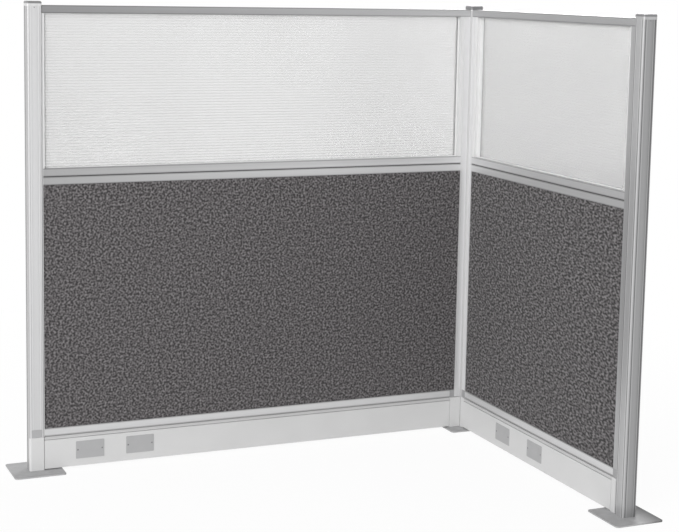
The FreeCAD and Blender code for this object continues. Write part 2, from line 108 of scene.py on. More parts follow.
def number(name, description, value, **options):
    """A plain number, such as the share of a tone."""
    return FloatProperty(name=name, description=description, default=value, **options)


def pair(name, description, long, short, **options):
    """A number for the long wall and one for the short wall, in the order of their axes."""
    return FloatVectorProperty(
        name=name, description=description, size=2, default=(long, short), **options
    )


def range_of(name, description, start, end):
    """Where something starts and ends."""
    return FloatVectorProperty(name=name, description=description, size=2, default=(start, end))


class CubicleMetalSettings(bpy.types.PropertyGroup):
    """Tones and fine lines of the metal parts."""

    # The posts are one anodised aluminium; the short end post's darker tone is painted shade.
    corner_post: grey("Corner post", "Satin anodised corner post", 0.60, 0.005)
    long_end_post: grey("Long end post", "Post at the long wall's end", 0.62, 0.005)
    short_end_post: grey("Short end post", "Post at the short wall's end", 0.44, 0.005)
    strip_tone: number("Strip tone", "Tone of the slot strips beside their posts'", 0.94)
    # Painted shade on the end posts: a darker outer side and a darker far edge.
    outer_painted_shade: pair("Outer side", "Tone of the end posts' outer sides", 0.70, 0.74)
    outer_depth: pair("Outer depth", "How deep that tone goes", 0.0045, 0.0018, unit="LENGTH")
    far_edge_painted_shade: pair("Far edge", "Tone of the end posts' far edges", 0.25, 0.66)
    # Painted shade in the grooves by the end posts' corners, and painted highlight on the lands
    # beside them.
    groove_painted_shade: pair("Groove tone", "Tone of the end posts' grooves", 0.85, 0.55)
    land_painted_highlight: pair("Land tone", "Tone of the end posts' lands", 1.03, 1.20)
    groove: distance("Groove", "From a post's edge to the middle of its groove", 0.0090)
    groove_width: distance("Groove width", "Width of a groove beside a post's corner", 0.0036)
    land: distance("Land", "From a post's edge to the middle of its bright land", 0.0136)
    land_width: distance("Land width", "Width of the land between groove and slot", 0.0044)
    post_corner: distance("Post corner", "Radius of the posts' corners", 0.007)
    # Painted shade on the corner post's rounded inner edge, which dims its highlight.
    corner_painted_shade: number("Corner painted shade", "Tone of the corner post's inner edge", 0.70)
    corner_shade_fade: number("Corner shade fade", "Where that tone fades, beside the corner's radius", 0.3)
    # The uprights are one aluminium: their tones are painted light by the corner and painted shade
    # by the short end post.
    corner_upright: grey("Corner uprights", "Uprights by the corner", 0.69, 0.005)
    long_far_upright: grey("Long far upright", "Upright by the long end post", 0.62, 0.005)
    short_far_upright: grey("Short far upright", "By the short end post", 0.38, 0.005)
    bead: grey("Window beads", "Beads beside the windows", 0.74)
    # The rails are one aluminium: their different tones are painted shade, darkest on the top
    # rails.
    top_rail: grey("Top rails", "Rails over the windows", 0.36, 0.005)
    mid_rail: grey("Middle rails", "Sills and the rails over the cloth", 0.50, 0.005)
    bottom_rail: grey("Bottom rails", "Rails under the cloth", 0.58, 0.005)
    # Painted shade along the rails' upper and lower edges.
    edge_line: distance("Edge lines", "Width of the dark lines along the rails' edges", 0.0045)
    edge_shade: number("Edge shade", "Tone of the lines along the rails' edges", 0.66)
    # Painted shade on the long wall's rails toward the end post, and painted light on the rails
    # toward the corner.
    rail_end: number("Rail end", "Tone of the long wall's rails by the end post", 0.72)
    rail_corner_painted_light: pair("Rail corner", "Tone of the rails by the corner", 1.42, 1.18)
    cap_top: grey("Cap tops", "Darker bevelled tops of the caps", 0.22, 0.005)
    cap_band: distance("Cap band", "Depth of the end caps' dark tops", 0.0095)
    corner_cap_band: distance("Corner cap band", "Depth of the corner cap's dark top", 0.016)
    band_fade: distance("Band fade", "Over how far the dark top fades in", 0.001)
    foot: grey("Feet", "Foot plates and spigots", 0.42, 0.005)
    # Painted shade toward the short end plate's outer edge.
    short_foot_painted_shade: number("Short foot edge", "Tone of the short end plate's outer edge", 0.25)
    screw: grey("Screws", "Small screws and bolts", 0.22, 0.005)


class CubicleRacewaySettings(bpy.types.PropertyGroup):
    """Tones of the raceway and its plates."""

    cover: grey("Covers", "Powder-coated raceway covers", 0.60)
    end_cover: grey("End covers", "Narrow covers beside the posts", 0.60)
    sleeve: grey("Sleeves", "Sleeves round the long end post's foot", 0.60)
    inside: grey("Inside", "Hanger, divider and tray", 0.50)
    plate: grey("Plates", "Blank outlet plates", 0.385, 0.005)
    block: grey("Blocks", "Moulded blocks at the rail ends", 0.31, 0.005)
    pad_tone: number("Pad tone", "Tone of the joint pads beside the blocks'", 1.22)


class CubicleClothSettings(bpy.types.PropertyGroup):
    """The speckled cloth faces and what is behind them."""

    dark: colour("Dark yarn", "Darkest yarn", 0.020, 0.018, 0.019)
    body: colour("Ground yarn", "Yarn of most of the cloth", 0.086, 0.0805, 0.0825)
    light: colour("Light flecks", "Lightest flecks", 0.235, 0.226, 0.23)
    dim: number("Dim yarn", "Tone of the dim yarn beside the ground yarn", 0.60)
    lit: number("Lit yarn", "Tone of the lit yarn beside the ground yarn", 1.52)
    levels: FloatVectorProperty(
        name="Levels", description="Levels of the dark, dim, ground, lit and light yarn",
        size=5, default=(0.41, 0.515, 0.58, 0.675, 0.885),
    )
    fleck: distance("Fleck", "Size of a fleck", 0.0088)
    crossing: number("Crossing", "Turn of the second flecks", 0.6, subtype="ANGLE")
    crossed: number("Crossed", "How much closer the second flecks lie", 1.13)
    crossed_share: number("Crossed share", "Share of the second flecks", 0.45)
    fuzz: number("Fuzz", "How much closer the fuzz lies", 2.6)
    fuzz_share: number("Fuzz share", "How strong the fuzz is", 0.2)
    draw: number("Draw", "How much longer flecks are along the short wall", 1.7)
    contrast: number("Contrast", "How strong the flecks are on the long wall", 0.8)
    short_contrast: number("Short contrast", "How strong they are on the short wall", 1.1)
    # Painted shade: the short wall's cloth is made darker than the long wall's.
    short_cloth_painted_shade: number("Short tone", "Tone of the short wall's cloth", 0.815)
    yarn: distance("Yarn", "Distance between yarns", 0.0016)
    unevenness: number("Unevenness", "How unevenly the yarns lie", 0.7)
    fleck_rise: number("Fleck rise", "Height of the flecks beside the weave's", 2.0)
    weave_depth: distance("Weave depth", "Depth of the weave", 0.0008)
    weave_strength: number("Weave strength", "How strongly the weave is shaded", 0.6)
    thickness: distance("Thickness", "Thickness of the cloth", 0.0018)
    roll: distance("Edge roll", "How far the edge rolls back", 0.0022)
    slack: distance("Slack", "How far the cloth wanders from flat", 0.0003)
    taut: distance("Taut", "How wide the cloth's taut border is", 0.08)
    sway: number("Sway", "How often the cloth wanders in a metre", 2.2)
    apart: number("Apart", "How differently the four cloths wander", 7.0)
    drift: number("Drift", "Which of many like patterns the wander takes", 0.4)
    mesh: distance("Mesh", "Size of the cloth's mesh faces", 0.014)
    gasket: colour("Gasket", "Rubber strips", 0.030, 0.030, 0.031)
    board: colour("Board", "Board behind the cloth", 0.50, 0.45, 0.36)


class CubicleWindowSettings(bpy.types.PropertyGroup):
    """The fluted twin-wall window sheets."""

    # Painted shade: the sheets grow darker from the corner toward the end posts.
    long_tint: grey("Long tint", "The long wall's sheet by the corner", 0.995)
    short_tint: grey("Short tint", "The short wall's sheet by the corner", 1.0)
    far_painted_shade: grey("Far tint", "The sheets by the end posts", 0.98)
    streaks: number("Streaks", "Cloudy streaks in a metre of the sheet", 1.0)
    streak_draw: number("Streak draw", "Streaks going up beside those along the sheet", 0.45)
    streak_levels: range_of("Streak levels", "Where a streak starts and is full", 0.38, 0.62)
    streak_shade: number("Streak shade", "Tone of the cloudy streaks", 0.96)
    # Painted shade along each rib of the sheet.
    rib_painted_shade: number("Rib shade", "Tone along a rib", 0.93)
    rib_levels: range_of("Rib levels", "Where a rib's tone starts and is full", 0.32, 0.5)
    haze: number("Haze", "Patches of haze in a metre of the sheet", 14.0)
    haze_draw: number("Haze draw", "Patches going up beside those along the sheet", 6.0)
    blur: range_of("Blur", "Least and most roughness of the sheet", 0.18, 0.30)
    pitch: distance("Flute pitch", "Distance between ribs", 0.011)
    skin: distance("Skin", "Thickness of each face", 0.0008)
    rib: distance("Rib", "Thickness of a rib", 0.0008)
    bite: distance("Bite", "How far the sheet goes into the frame", 0.008)
    corner_bead: distance("Corner bead", "Width of the bead by the corner", 0.018)
    far_bead: distance("Far bead", "Width of the bead by the end post", 0.006)
    strip: grey("Glazing strips", "Soft strips round the sheet", 0.68)
    strip_width: distance("Strip width", "How far a strip shows beside the frame", 0.0040)
    strip_depth: distance("Strip depth", "How far a strip stands off the sheet", 0.0012)
    wide_strip: distance("Wide strip", "Width of the short inner strip by the corner", 0.024)
    thin_strip: distance("Thin strip", "Width of the strips under the top rails", 0.001)


class CubicleScrewSettings(bpy.types.PropertyGroup):
    """The screws of the blank plates."""

    spacing: distance("Spacing", "Distance between a plate's two screws", 0.098)
    diameter: distance("Diameter", "Diameter of a head", 0.0065)
    height: distance("Height", "Height of a head", 0.0011)
    slot: distance("Slot", "Width of the slot", 0.0011)
    slot_lift: number("Slot lift", "Middle of the slot's cutter beside the height", 0.9)
    flat: number("Flat", "Radius of a head's flat top beside its diameter", 0.36)
    turn: number("Turn", "Most that a slot is turned", 0.7, subtype="ANGLE")
    sides: IntProperty(name="Sides", description="Sides of a head", default=20, min=8)
    seed: IntProperty(name="Seed", description="Seed of the slots' turns", default=4)


class CubicleSleeveSettings(bpy.types.PropertyGroup):
    """The sleeves and cover pads on the foot of the long wall's end post."""

    wrap: distance("Wrap", "How far a sleeve reaches round the post's corner", 0.011)
    bottom: distance("Bottom", "Height of a sleeve's bottom edge", 0.0055)
    top: distance("Top", "Height of a sleeve's top edge", 0.1370)
    thickness: distance("Thickness", "Thickness of a sleeve", 0.0008)
    pad_bottom: distance("Pad bottom", "Height of a pad's bottom edge", 0.1385)
    pad_top: distance("Pad top", "Height of a pad's top edge", 0.1690)
    pad_end: distance("Pad end", "From the post's inner side to the pad's end", 0.009)
    pad_share: number("Pad share", "Thickness of a pad beside a sleeve's", 0.7)
    soft_edge: number("Soft edge", "Rounding of the edges beside the thickness", 0.35)
    sharp: number("Sharp", "Edges that turn more are rounded", math.radians(50.0), subtype="ANGLE")


class CubicleStageSettings(bpy.types.PropertyGroup):
    """Camera, lamps and floor."""

    camera: spot("Camera", "Place of the camera", -3.202, -5.972, 1.924)
    turn: number(
        "Turn", "Camera's turn from the long wall's inward direction", math.radians(23.47),
        subtype="ANGLE",
    )
    dip: number("Dip", "How far it looks down", math.radians(7.39), subtype="ANGLE")
    tilt: number("Tilt", "Turn about its line of sight", math.radians(1.05), subtype="ANGLE")
    lens: number("Lens", "Focal length in millimetres", 83.77)
    rise: number("Rise", "Vertical shift of the lens", -0.1178)
    floor: distance("Floor", "Side of the floor", 60.0)
    floor_tone: grey("Floor tone", "Paint of the floor", 0.9)
    floor_middle: spot("Floor middle", "Middle of the floor", -0.9, -0.6, -0.0005)
    fade_start: distance("Fade start", "Where the floor starts to fade", 1.2)
    fade_end: distance("Fade end", "Where the floor has faded into the backdrop", 3.6)
    near_white: number("Near white", "How far the floor is faded at the object", 0.94)
    ambient: number("Ambient", "Light from all round", 0.52)
    target: spot("Target", "What the lamps look at", -0.9, -0.5, 0.9)
    key: number("Key", "Power of the front left lamp", 1760.0)
    key_place: spot("Key place", "Place of the front left lamp", -11.0, -9.5, 6.5)
    key_size: distance("Key size", "Side of the front left lamp", 9.0)
    back: number("Back", "Power of the lamp behind", 220.0)
    back_place: spot("Back place", "Place of the lamp behind", 3.6, 5.0, 4.2)
    back_size: distance("Back size", "Side of the lamp behind", 3.0)


def add_node(tree, kind, inputs=None, **options):
    """Add a node, set its options, and link or set its sockets."""
    node = tree.nodes.new(kind)
    for option, value in options.items():
        setattr(node, option, value)
    for socket, value in (inputs or {}).items():
        if isinstance(value, bpy.types.NodeSocket):
            tree.links.new(value, node.inputs[socket])
        else:
            node.inputs[socket].default_value = value
    return node


def first(tree, kind, inputs=None, **options):
    """Add a node, and give its first output."""
    return add_node(tree, kind, inputs, **options).outputs[0]


def calculate(tree, operation, *values):
    """The result of one operation on one, two or three values."""
    return first(tree, "ShaderNodeMath", dict(enumerate(values)), operation=operation)


def combine(tree, x=0.0, y=0.0, z=0.0):
    """A vector of three values."""
    return first(tree, "ShaderNodeCombineXYZ", {X: x, Y: y, Z: z})


def cleared(block):
    """The node tree of a material or a world, emptied."""
    block.use_nodes = True
    block.node_tree.nodes.clear()
    return block.node_tree


def linked(name, data):
    """A new object in the scene."""
    thing = bpy.data.objects.new(name, data)
    bpy.context.scene.collection.objects.link(thing)
    return thing


def new_finish(name, **sockets):
    """A material with one shader whose plain values are set on its own sockets."""
    finish = bpy.data.materials.new(name)
    tree = cleared(finish)
    shader = add_node(tree, "ShaderNodeBsdfPrincipled")
    for socket, value in sockets.items():
        shader.inputs[socket.replace("_", " ")].default_value = value
    add_node(tree, "ShaderNodeOutputMaterial", {"Surface": shader.outputs["BSDF"]})
    return finish, tree, shader


def object_place(tree, stretch=(1.0, 1.0, 1.0)):
    """Coordinates in metres on the object, stretched."""
    place = add_node(tree, "ShaderNodeTexCoord").outputs["Object"]
    return first(tree, "ShaderNodeMapping", {"Vector": place, "Scale": stretch})


def object_axis(tree, axis):
    """One of the coordinates in metres on the object."""
    place = add_node(tree, "ShaderNodeTexCoord").outputs["Object"]
    return add_node(tree, "ShaderNodeSeparateXYZ", {0: place}).outputs[axis]


def from_middle(tree, axis, box):
    """The distance from a box's middle along an axis, less than 0 on the low side."""
    return calculate(tree, "SUBTRACT", object_axis(tree, axis), (box[0][axis] + box[1][axis]) / 2.0)


def noise_value(tree, place, scale=1.0, detail=2.0, roughness=0.5, **options):
    """Soft noise from 0 to 1."""
    sockets = {"Vector": place, "Scale": scale, "Detail": detail, "Roughness": roughness}
    return first(tree, "ShaderNodeTexNoise", sockets, **options)


def cloth_plane(tree, draw):
    """Coordinates along the wall and up it, flat, so that no fleck is cut on a slant."""
    place = object_place(tree, (1.0, 1.0 / draw, 1.0))
    parts = add_node(tree, "ShaderNodeSeparateXYZ", {0: place}).outputs
    return combine(tree, calculate(tree, "ADD", parts[X], parts[Y]), parts[Z])


def ramp(tree, value, *stops):
    """Colours between stops of (position, colour) along a value."""
    node = add_node(tree, "ShaderNodeValToRGB", {"Fac": value})
    elements = node.color_ramp.elements
    while len(elements) < len(stops):
        elements.new(0.5)
    for element, (position, tone) in zip(elements, stops):
        element.position = position
        element.color = (*tone, 1.0)
    return node.outputs["Color"]


def mapped(tree, value, start=0.0, end=1.0, low=0.0, high=1.0):
    """Low before a start, high after an end, and even between."""
    sockets = {"Value": value, "From Min": start, "From Max": end, "To Min": low, "To Max": high}
    return first(tree, "ShaderNodeMapRange", sockets)


def shade(tone, share):
    """A colour made lighter or darker."""
    return tuple(min(1.0, channel * share) for channel in tone)


def relief(tree, shader, height, strength, depth):
    """Raise and sink the surface's shading by a height."""
    sockets = {"Height": height, "Strength": strength, "Distance": depth}
    tree.links.new(first(tree, "ShaderNodeBump", sockets), shader.inputs["Normal"])


def grained(
    name, tone, tones, broad, fine, rough, bump, reach=(0.3, 0.7), stretch=(1.0, 1.0, 1.0),
    broad_stretch=(1.0, 1.0, 1.0), **sockets
):
    """A finish whose tone follows a broad noise, and its roughness and relief a fine one.

    Tones are the darker and the lighter share, met at the two levels of reach; rough is the
    lowest and highest roughness; bump is the relief's strength and depth.
    """
    finish, tree, shader = new_finish(name, **sockets)
    cloud = noise_value(tree, object_place(tree, broad_stretch), **broad)
    grain = noise_value(tree, object_place(tree, stretch), **fine)
    stops = [(level, shade(tone, share)) for level, share in zip(reach, tones)]
    tree.links.new(ramp(tree, cloud, *stops), shader.inputs["Base Color"])
    if rough:
        low, high = rough
        tree.links.new(mapped(tree, grain, low=low, high=high), shader.inputs["Roughness"])
    relief(tree, shader, grain, *bump)
    return finish


def anodised(name, tone, along=UP, rough=0.33):
    """Satin anodised aluminium with fine lines from the die along one direction."""
    across = Vector((1.0, 1.0, 1.0)) - along
    return grained(
        name, tone, tones=(0.95, 1.04), reach=(0.25, 0.75),
        broad={"detail": 1.0, "roughness": 0.4}, broad_stretch=tuple(across * 60.0 + along * 0.8),
        fine={"detail": 3.0, "roughness": 0.6}, stretch=tuple(across * 420.0 + along * 1.6),
        rough=(rough - 0.06, rough + 0.07), bump=(0.25, 0.0001), Metallic=0.35, IOR=1.5,
    )


def powder_coat(name, tone, rough):
    """Light powder coat with a fine orange-peel skin."""
    return grained(
        name, tone, tones=(0.975, 1.02), broad={"scale": 5.0}, fine={"scale": 900.0},
        rough=(rough - 0.06, rough + 0.06), bump=(0.18, 0.0002), IOR=1.5,
    )


def moulded(name, tone):
    """Smooth moulded plastic with a fine spark grain."""
    return grained(
        name, tone, tones=(0.96, 1.03), broad={"scale": 18.0},
        fine={"scale": 1600.0, "roughness": 0.6}, rough=(0.42, 0.56), bump=(0.2, 0.00015),
        IOR=1.47,
    )


def rolled_steel(name, tone, rough):
    """Cold-rolled steel plate with a fine brushed grain and faint scuffs."""
    return grained(
        name, tone, tones=(0.9, 1.06), broad={"scale": 26.0, "detail": 4.0, "roughness": 0.65},
        fine={"detail": 3.0, "roughness": 0.6}, stretch=(24.0, 620.0, 620.0),
        rough=(rough - 0.07, rough + 0.09), bump=(0.2, 0.0001), Metallic=0.15, IOR=1.2,
    )


def rubber(name, tone):
    """Dull black rubber with a fine grain."""
    grain = {"scale": 700.0, "detail": 3.0, "roughness": 0.6}
    return grained(
        name, tone, tones=(0.8, 1.3), broad=grain, fine=grain, rough=(0.6, 0.8),
        bump=(0.3, 0.0002), IOR=1.5,
    )


def fibre_board(name, tone):
    """Raw sound-absorbing board with short fibres."""
    fibres = {"scale": 240.0, "detail": 5.0, "roughness": 0.7}
    stretch = (1.0, 1.0, 2.2)
    return grained(
        name, tone, tones=(0.72, 1.15), broad=fibres, broad_stretch=stretch, fine=fibres,
        stretch=stretch, rough=None, bump=(0.5, 0.0008), Roughness=0.92,
    )


def mixed_colour(tree, share, one, other, **options):
    """Two colours mixed by a share."""
    sockets = {0: share, 6: one, 7: other}
    return add_node(tree, "ShaderNodeMix", sockets, data_type="RGBA", **options).outputs[2]


def recolour(finish, area, share=1.0, other=None):
    """Make a finish darker or lighter by a share, or another colour, as far as an area says."""
    tree = finish.node_tree
    base = tree.nodes["Principled BSDF"].inputs["Base Color"]
    own = base.links[0].from_socket
    if other is None:
        tone = (share, share, share, 1.0)
        other = mixed_colour(tree, 1.0, own, tone, blend_type="MULTIPLY")
    tree.links.new(mixed_colour(tree, area, own, other), base)


def graded(finish, axis, start, end, share):
    """Turn a finish slowly lighter or darker from one place to another along an axis."""
    tree = finish.node_tree
    recolour(finish, mapped(tree, object_axis(tree, axis), start, end), share)


def painted_shade_on_rail_edges(finish, box, width, share):
    """Paint shade along a rail's upper and lower edges."""
    tree = finish.node_tree
    away = calculate(tree, "ABSOLUTE", from_middle(tree, Z, box))
    half = (box[1].z - box[0].z) / 2.0
    recolour(finish, mapped(tree, away, half - width, half - width * FULL_TONE), share)


def painted_post_lines(finish, box, inset, width, share):
    """Painted lines of shade or highlight along a post, as far from its edges as an inset says."""
    tree = finish.node_tree
    lines = []
    for axis in (X, Y):
        away = calculate(tree, "ABSOLUTE", from_middle(tree, axis, box))
        line = (box[1][axis] - box[0][axis]) / 2.0 - inset
        lines.append(calculate(tree, "COMPARE", away, line, width / 2.0))
    recolour(finish, calculate(tree, "MAXIMUM", *lines), share)


def corner_painted_shade(finish, corner, metal):
    """Paint shade on a post's rounded inner edge, which dims its highlight."""
    tree = finish.node_tree
    along = calculate(tree, "ADD", object_axis(tree, X), object_axis(tree, Y))
    start = corner.x + corner.y + metal.post_corner
    end = start - metal.post_corner * metal.corner_shade_fade
    recolour(finish, mapped(tree, along, start, end), metal.corner_painted_shade)


def end_post(wall, metal, side, strips):
    """Paint shade on an end post's outer side and far edge, shade in the grooves beside its slots
    and highlight on their lands.
    """
    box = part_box(wall + "_end_post")
    along, across = (X, Y) if wall == "long" else (Y, X)
    outer, deep = box[0][along], metal.outer_depth[along]
    # Painted shade on the outer side of the post and of its strips.
    for finish in (strips, side):
        graded(finish, along, outer + deep, outer + deep * FULL_TONE, metal.outer_painted_shade[along])
    painted_post_lines(side, box, metal.groove, metal.groove_width, metal.groove_painted_shade[along])
    painted_post_lines(side, box, metal.land, metal.land_width, metal.land_painted_highlight[along])
    # Painted shade toward the post's far edge.
    middle, far = (box[0][across] + box[1][across]) / 2.0, box[1][across]
    for finish in (side, strips) if wall == "short" else (side,):
        graded(finish, across, middle, far, metal.far_edge_painted_shade[along])


def cap_finish(name, tone, metal, depth):
    """The post's finish on the cap's side, and a darker bevelled top."""
    finish = anodised(name, tone)
    tree = finish.node_tree
    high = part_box("corner_post_cap")[1].z - depth
    area = mapped(tree, object_axis(tree, Z), high, high + metal.band_fade)
    recolour(finish, area, other=(*metal.cap_top, 1.0))
    return finish


def speckled_tweed(name, cloth, draw, contrast, depth):
    """Speckled charcoal tweed: ground yarn, dark and light flecks, and a crossed weave."""
    # Depth scales every yarn's tone; below 1 it is painted shade.
    def yarn(tone):
        return tuple(
            depth * max(0.0, ground + (channel - ground) * contrast)
            for ground, channel in zip(cloth.body, tone)
        )

    finish, tree, shader = new_finish(
        name, Roughness=0.93, Sheen_Weight=0.18, Sheen_Roughness=0.5, IOR=1.4,
    )
    place = cloth_plane(tree, draw)
    turn = (0.0, 0.0, cloth.crossing)
    turned = first(tree, "ShaderNodeMapping", {"Vector": place, "Rotation": turn})
    flecks, crossed, fuzz = (
        noise_value(tree, where, closer / cloth.fleck, detail, rough, noise_dimensions="2D")
        for where, closer, detail, rough in (
            (place, 1.0, 0.0, 0.5), (turned, cloth.crossed, 0.0, 0.5),
            (turned, cloth.fuzz, 2.0, 0.6),
        )
    )
    both = first(tree, "ShaderNodeMix", {0: cloth.crossed_share, 2: flecks, 3: crossed})
    level = calculate(tree, "MULTIPLY_ADD", fuzz, cloth.fuzz_share, both)
    tones = (
        cloth.dark, shade(cloth.body, cloth.dim), cloth.body, shade(cloth.body, cloth.lit),
        cloth.light,
    )
    yarns = ramp(tree, level, *zip(cloth.levels, map(yarn, tones)))
    tree.links.new(yarns, shader.inputs["Base Color"])
    sockets = {"Vector": place, "Scale": 1.0 / cloth.yarn, "Randomness": cloth.unevenness}
    weave = first(tree, "ShaderNodeTexVoronoi", sockets)
    height = calculate(tree, "MULTIPLY_ADD", level, cloth.fleck_rise, weave)
    relief(tree, shader, height, cloth.weave_strength, cloth.weave_depth)
    return finish


def fluted_sheet(name, wall, window):
    """Milky clear polycarbonate that lets light through but blurs what is behind."""
    finish, tree, shader = new_finish(name, Transmission_Weight=0.85, IOR=1.585)
    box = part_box(wall + "_window")
    axis = WALLS[wall]
    # Painted shade, darker from the corner toward the end post.
    away = mapped(tree, object_axis(tree, axis), box[1][axis], box[0][axis])
    by_corner = getattr(window, wall + "_tint")
    tints = ramp(tree, away, (0.0, tuple(by_corner)), (1.0, tuple(window.far_painted_shade)))
    tree.links.new(tints, shader.inputs["Base Color"])
    place = object_place(tree, (1.0, 1.0, window.streak_draw))
    streaks = noise_value(tree, place, window.streaks)
    recolour(finish, mapped(tree, streaks, *window.streak_levels), window.streak_shade)
    # Painted shade along each rib.
    above = from_middle(tree, Z, box)
    rows = calculate(tree, "PINGPONG", calculate(tree, "DIVIDE", above, window.pitch), 0.5)
    recolour(finish, mapped(tree, rows, *window.rib_levels), window.rib_painted_shade)
    place = object_place(tree, (1.0, 1.0, window.haze_draw))
    haze = noise_value(tree, place, window.haze, detail=3.0, roughness=0.6)
    least, most = window.blur
    tree.links.new(mapped(tree, haze, low=least, high=most), shader.inputs["Roughness"])
    return finish


def dress(nodes, finish):
    """Give CAD nodes a finish."""
    for name in nodes:
        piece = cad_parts[name]
        piece.data.materials.clear()
        piece.data.materials.append(finish)


def geometry_tree(name, lengths, counts=()):
    """A Geometry Nodes tree with named inputs and a material, and its input and output nodes."""
    tree = bpy.data.node_groups.new(name, "GeometryNodeTree")
    tree.interface.new_socket("Geometry", in_out="OUTPUT", socket_type="NodeSocketGeometry")
    kinds = [(label, "Float") for label in lengths] + [(label, "Int") for label in counts]
    for label, kind in kinds + [("Material", "Material")]:
        tree.interface.new_socket(label, in_out="INPUT", socket_type="NodeSocket" + kind)
    given = tree.nodes.new("NodeGroupInput").outputs
    out = tree.nodes.new("NodeGroupOutput")
    return tree, given, out


def hand_over(tree, geometry, given, out):
    """End a tree: realize the instances, set the material and give the geometry out."""
    real = first(tree, "GeometryNodeRealizeInstances", {"Geometry": geometry})
    sockets = {"Geometry": real, "Material": given["Material"]}
    tree.links.new(first(tree, "GeometryNodeSetMaterial", sockets), out.inputs["Geometry"])
    return tree


def grown_mesh(name, tree, values, place):
    """Run a tree on an empty mesh and keep the result as a plain mesh at its place."""
    seed = linked(name + "_seed", bpy.data.meshes.new(name + "_seed"))
    modifier = seed.modifiers.new("grow", "NODES")
    modifier.node_group = tree
    for socket in tree.interface.items_tree:
        if socket.in_out == "INPUT":
            modifier[socket.identifier] = values[socket.name]
    bpy.context.view_layer.update()
    evaluated = seed.evaluated_get(bpy.context.evaluated_depsgraph_get())
    mesh = bpy.data.meshes.new_from_object(evaluated)
    seed.modifiers.remove(modifier)
    bpy.data.objects.remove(seed)
    if not mesh.polygons:
        raise RuntimeError(f"{name} came out empty")
    mesh.name = name
    mesh.transform(place)
    return linked(name, mesh)


def joined(tree, one, other):
    """Two geometries in one."""
    node = add_node(tree, "GeometryNodeJoinGeometry", {"Geometry": one})
    tree.links.new(other, node.inputs["Geometry"])
    return node.outputs[0]


def row_of_points(tree, count, start, step):
    """Points in a row, a step apart."""
    sockets = {"Count": count, "Start Location": start, "Offset": step}
    return first(tree, "GeometryNodeMeshLine", sockets)


def fluted_sheet_tree():
    """A twin-wall sheet: the section with its flutes is filled and drawn out to a length."""
    tree, given, out = geometry_tree(
        "fluted sheet", ("Depth", "Height", "Length", "Pitch", "Skin", "Rib")
    )
    edge = first(
        tree, "GeometryNodeCurvePrimitiveQuadrilateral",
        {"Width": given["Depth"], "Height": given["Height"]},
    )
    hollow = calculate(tree, "MULTIPLY_ADD", given["Skin"], -2.0, given["Depth"])
    open_height = calculate(tree, "SUBTRACT", given["Pitch"], given["Rib"])
    flute = first(
        tree, "GeometryNodeCurvePrimitiveQuadrilateral", {"Width": hollow, "Height": open_height}
    )
    clear = calculate(tree, "SUBTRACT", given["Height"], given["Rib"])
    count = calculate(tree, "FLOOR", calculate(tree, "DIVIDE", clear, given["Pitch"]))
    below = calculate(tree, "MULTIPLY_ADD", count, -0.5, 0.5)
    lowest = calculate(tree, "MULTIPLY", below, given["Pitch"])
    line = row_of_points(tree, count, combine(tree, y=lowest), combine(tree, y=given["Pitch"]))
    flutes = first(tree, "GeometryNodeInstanceOnPoints", {"Points": line, "Instance": flute})
    flutes = first(tree, "GeometryNodeRealizeInstances", {"Geometry": flutes})
    filled = first(tree, "GeometryNodeFillCurve", {"Curve": joined(tree, edge, flutes)})
    sockets = {"Mesh": filled, "Offset": combine(tree, z=given["Length"]), "Individual": False}
    drawn = first(tree, "GeometryNodeExtrudeMesh", sockets)
    end = first(tree, "GeometryNodeFlipFaces", {"Mesh": filled})
    welded = first(
        tree, "GeometryNodeMergeByDistance",
        {"Geometry": joined(tree, drawn, end), "Distance": SHEET_WELD},
    )
    return hand_over(tree, welded, given, out)


def plate_screw_tree(screw):
    """Two slotted pan-head screws a set distance apart, each turned at random."""
    tree, given, out = geometry_tree(
        "plate screws", ("Spacing", "Diameter", "Rise", "Slot"), ("Sides", "Seed")
    )
    head = first(
        tree, "GeometryNodeMeshCone",
        {
            "Vertices": given["Sides"],
            "Side Segments": 2,
            "Radius Top": calculate(tree, "MULTIPLY", given["Diameter"], screw.flat),
            "Radius Bottom": calculate(tree, "MULTIPLY", given["Diameter"], 0.5),
            "Depth": given["Rise"],
        },
    )
    size = combine(tree, given["Diameter"], given["Slot"], given["Rise"])
    bar = first(tree, "GeometryNodeMeshCube", {"Size": size})
    lift = combine(tree, z=calculate(tree, "MULTIPLY", given["Rise"], screw.slot_lift))
    bar = first(tree, "GeometryNodeTransform", {"Geometry": bar, "Translation": lift})
    slotted = first(
        tree, "GeometryNodeMeshBoolean", {"Mesh 1": head, "Mesh 2": bar}, operation="DIFFERENCE"
    )
    start = combine(tree, calculate(tree, "MULTIPLY", given["Spacing"], -0.5))
    line = row_of_points(tree, 2, start, combine(tree, given["Spacing"]))
    turn = first(
        tree, "FunctionNodeRandomValue",
        {"Min": UP * -screw.turn, "Max": UP * screw.turn, "Seed": given["Seed"]},
        data_type="FLOAT_VECTOR",
    )
    sockets = {"Points": line, "Instance": slotted, "Rotation": turn}
    heads = first(tree, "GeometryNodeInstanceOnPoints", sockets)
    return hand_over(tree, heads, given, out)


def facing(outward, origin):
    """The place of a flat thing whose own Z looks outward and whose own Y is up."""
    turn = Matrix((UP.cross(outward), UP, outward)).transposed().to_4x4()
    return Matrix.Translation(origin) @ turn


def face_middle(low, high, outward):
    """The middle of a box's side that looks outward."""
    middle = (low + high) / 2.0
    front = max(low.dot(outward), high.dot(outward))
    return middle + outward * (front - middle.dot(outward))


def plain_mesh(name, points, faces, finish):
    """A mesh of points and faces."""
    mesh = bpy.data.meshes.new(name)
    mesh.from_pydata(points, [], faces)
    mesh.materials.append(finish)
    return mesh


